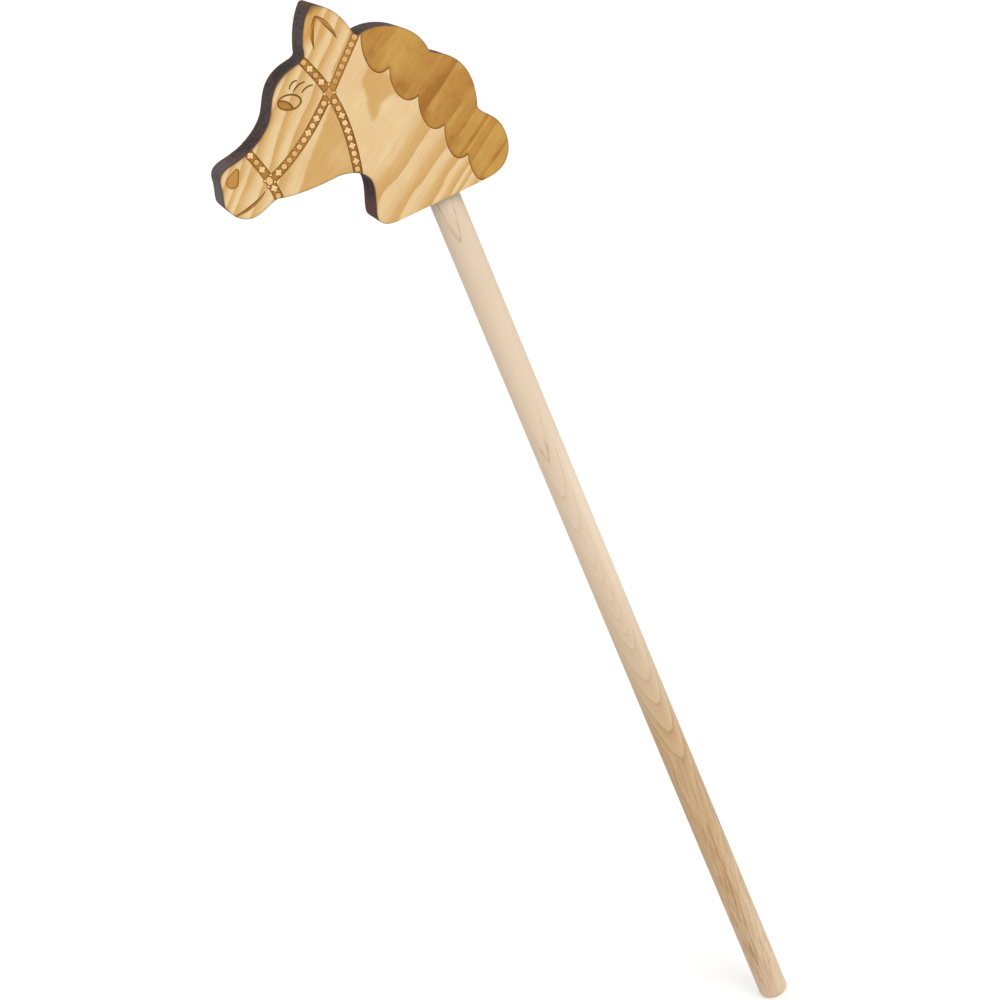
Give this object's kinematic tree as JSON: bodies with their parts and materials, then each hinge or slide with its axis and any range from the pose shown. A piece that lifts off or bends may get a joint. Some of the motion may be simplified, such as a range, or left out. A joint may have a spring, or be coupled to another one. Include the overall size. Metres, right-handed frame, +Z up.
{
  "type": "hobby horse",
  "caption": "Flat wooden horse's head with a burnt-in mane, bridle and face, glued on a round wooden stick to ride astride.",
  "frame": {"origin": "middle of the flat end of the stick's foot", "axes": "+Z up the stick towards the head, -X towards the nose, +Y through the board's thickness away from the side that the picture shows"},
  "size_m": [0.2205, 0.0382, 0.9721],
  "materials": {
    "pine": "bare sanded pine, burnt brown in the mane and bridle and charred dark on its cut edge",
    "maple": "bare sanded hardwood, fine straight grain"
  },
  "bodies": {
    "root": {"head_board": "pine", "stick": "maple"}
  },
  "joints": []
}
